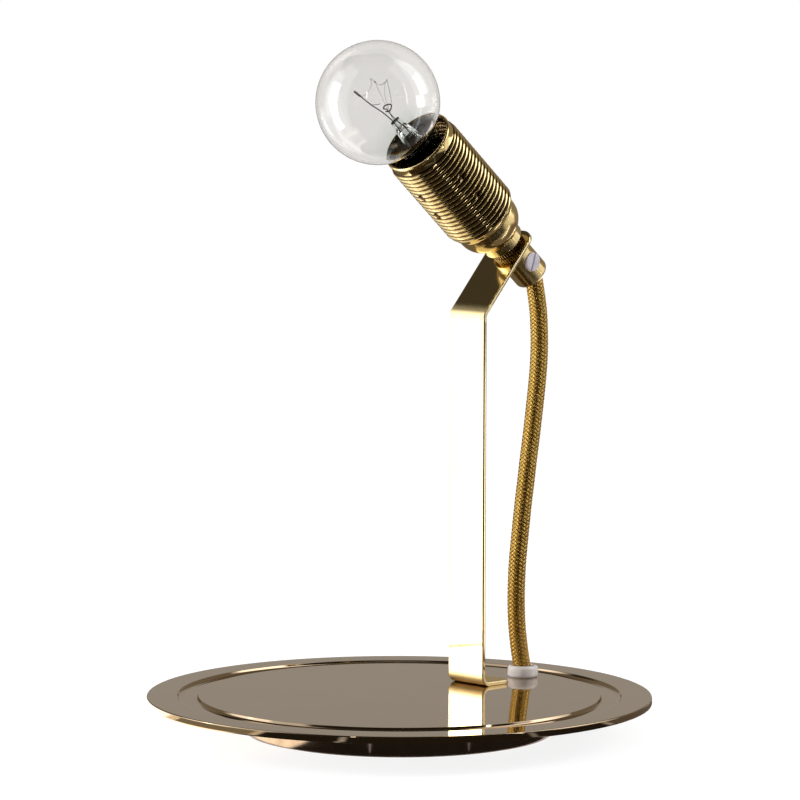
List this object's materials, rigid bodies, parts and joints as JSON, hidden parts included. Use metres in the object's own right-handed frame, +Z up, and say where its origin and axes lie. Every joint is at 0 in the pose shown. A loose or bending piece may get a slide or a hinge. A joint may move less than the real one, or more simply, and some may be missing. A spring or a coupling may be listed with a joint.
{
  "type": "table lamp",
  "caption": "Bare-bulb table lamp: round polished brass base, bent strip post, tilted threaded lampholder with a clear globe bulb and a braided gold cord.",
  "frame": {"origin": "centre of the round plate, on the table under the felt pad", "axes": "+Z up; -Y is the way the head leans; the cord hangs on the +Y side; the post's strip is wide along X"},
  "size_m": [0.18, 0.18, 0.2473],
  "materials": {
    "brass_mirror": "mirror polished",
    "brass_holder": "polished",
    "brass_inner": "plain turned",
    "bronze_foot": "gloss dark bronze",
    "steel": "zinc plated",
    "felt": "felt",
    "nylon_clear": "translucent natural nylon",
    "nylon_screw": "natural nylon",
    "thermoplastic": "plain black",
    "insulation": "plain",
    "braid": "braided gold rayon",
    "glass": "clear",
    "wire": "drawn",
    "cap_metal": "rolled",
    "black_glass": "gloss black"
  },
  "bodies": {
    "lamp": {"base_plate": "brass_mirror", "foot_shell": "bronze_foot", "foot_cover": "steel", "felt_pad": "felt", "ballast_plate": "steel", "plate_screws": "steel", "post_screws": "steel", "cover_screws": "steel", "strip_post": "brass_mirror", "cord_bush": "nylon_clear", "bush_nut": "nylon_clear", "mains_gland": "nylon_clear", "terminal_block": "thermoplastic", "terminal_sleeves": "brass_inner", "terminal_screws": "steel", "foot_cores": "insulation", "nipple": "brass_inner", "cord_grip": "brass_holder", "holder_cap": "brass_holder", "holder_shell": "brass_holder", "holder_insert": "thermoplastic", "screw_contact": "brass_inner", "centre_contact": "brass_inner", "holder_terminals": "brass_inner", "holder_terminal_screws": "steel", "earth_screw": "brass_inner", "head_cores": "insulation", "cord": "braid"},
    "ring_nut": {"ring_nut": "brass_holder"},
    "grip_screw": {"grip_screw": "nylon_screw"},
    "bulb": {"bulb_glass": "glass", "bulb_stem": "glass", "bulb_leads": "wire", "bulb_supports": "wire", "bulb_filament": "wire", "bulb_cap": "cap_metal", "bulb_insulator": "black_glass", "bulb_tip": "cap_metal"}
  },
  "joints": [
    {"name": "bulb_out", "type": "slide", "parent": "lamp", "child": "bulb", "axis": [0, -0.7547, 0.6561], "range_m": [0, 0.06]},
    {"name": "ring_nut_turn", "type": "hinge", "parent": "lamp", "child": "ring_nut", "pos_m": [0, 0.05264, 0.17147], "axis": [0, -0.7547, 0.6561], "continuous": true},
    {"name": "grip_screw_turn", "type": "hinge", "parent": "lamp", "child": "grip_screw", "pos_m": [0, 0.05906, 0.16589], "axis": [1, 0, 0], "continuous": true}
  ]
}
